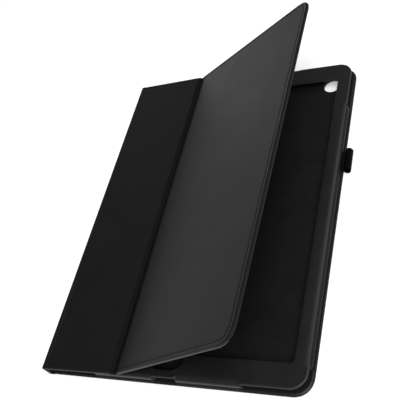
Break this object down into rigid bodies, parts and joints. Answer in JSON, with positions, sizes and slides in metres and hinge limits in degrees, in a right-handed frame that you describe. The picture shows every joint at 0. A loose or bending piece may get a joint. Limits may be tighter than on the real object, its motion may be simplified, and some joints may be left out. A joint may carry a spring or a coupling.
{
  "type": "tablet case",
  "caption": "Black folio case for a large tablet, with a framed pocket, a folding stand cover, a stylus loop and a camera hole.",
  "frame": {"origin": "centre of the pocket on the back's outer face, which the case lies on", "axes": "+X from the spine to the free side, +Y up the long side, +Z out of the front"},
  "size_m": [0.2424, 0.32, 0.0919],
  "materials": {
    "leather": "black synthetic leather, fine smooth grain, satin",
    "lining": "black microfibre, short soft nap",
    "board": "pressed fibre board, raw",
    "foam": "closed-cell foam strip",
    "thread": "black bonded polyester thread",
    "elastic": "woven black elastic band",
    "magnet": "nickel-plated magnet"
  },
  "bodies": {
    "back": {"back_skin": "leather", "back_board": "board", "back_lining": "lining", "back_thread": "thread", "frame_skin": "leather", "frame_board": "board", "frame_lining": "lining", "right_wall_skin": "leather", "right_wall_foam": "foam", "right_wall_lining": "lining", "bottom_left_wall_skin": "leather", "bottom_left_wall_foam": "foam", "bottom_left_wall_lining": "lining", "bottom_right_wall_skin": "leather", "bottom_right_wall_foam": "foam", "bottom_right_wall_lining": "lining", "top_wall_skin": "leather", "top_wall_foam": "foam", "top_wall_lining": "lining", "flange_thread": "thread", "loop_tab": "elastic"},
    "spine": {"spine_skin": "leather", "spine_board": "board", "spine_lining": "lining", "back_fold": "leather", "front_fold": "leather"},
    "narrow_cover": {"narrow_skin": "leather", "narrow_board": "board", "narrow_lining": "lining", "narrow_thread": "thread", "crease_fold": "leather"},
    "wide_cover": {"wide_skin": "leather", "wide_board": "board", "wide_lining": "lining", "wide_thread": "thread", "wake_magnets": "magnet"},
    "stylus_loop": {"stylus_loop": "elastic"},
    "stand_lip": {"stand_lip": "leather"}
  },
  "joints": [
    {"name": "spine_back_fold", "type": "hinge", "parent": "back", "child": "spine", "pos_m": [-0.1145, 0, 0.0015], "axis": [0, -1, 0], "range_deg": [0, 180], "deforming": ["back_fold"]},
    {"name": "spine_front_fold", "type": "hinge", "parent": "spine", "child": "narrow_cover", "pos_m": [-0.1145, 0, 0.0133], "axis": [0, -1, 0], "range_deg": [-2.2, 177.8], "deforming": ["front_fold"]},
    {"name": "cover_crease", "type": "hinge", "parent": "narrow_cover", "child": "wide_cover", "pos_m": [-0.03912, 0, 0.0179], "axis": [0, 1, 0], "range_deg": [-146, 26.5], "deforming": ["crease_fold"]},
    {"name": "stylus_loop_swing", "type": "hinge", "parent": "back", "child": "stylus_loop", "pos_m": [0.1185, 0.0469, 0.0033], "axis": [0, -1, 0], "range_deg": [-20, 30], "stiffness_Nm_per_rad": 0.005},
    {"name": "stand_lip_fold", "type": "hinge", "parent": "back", "child": "stand_lip", "pos_m": [0.0617, 0, 0.00035], "axis": [0, 1, 0], "range_deg": [-60, 0], "stiffness_Nm_per_rad": 0.002}
  ]
}
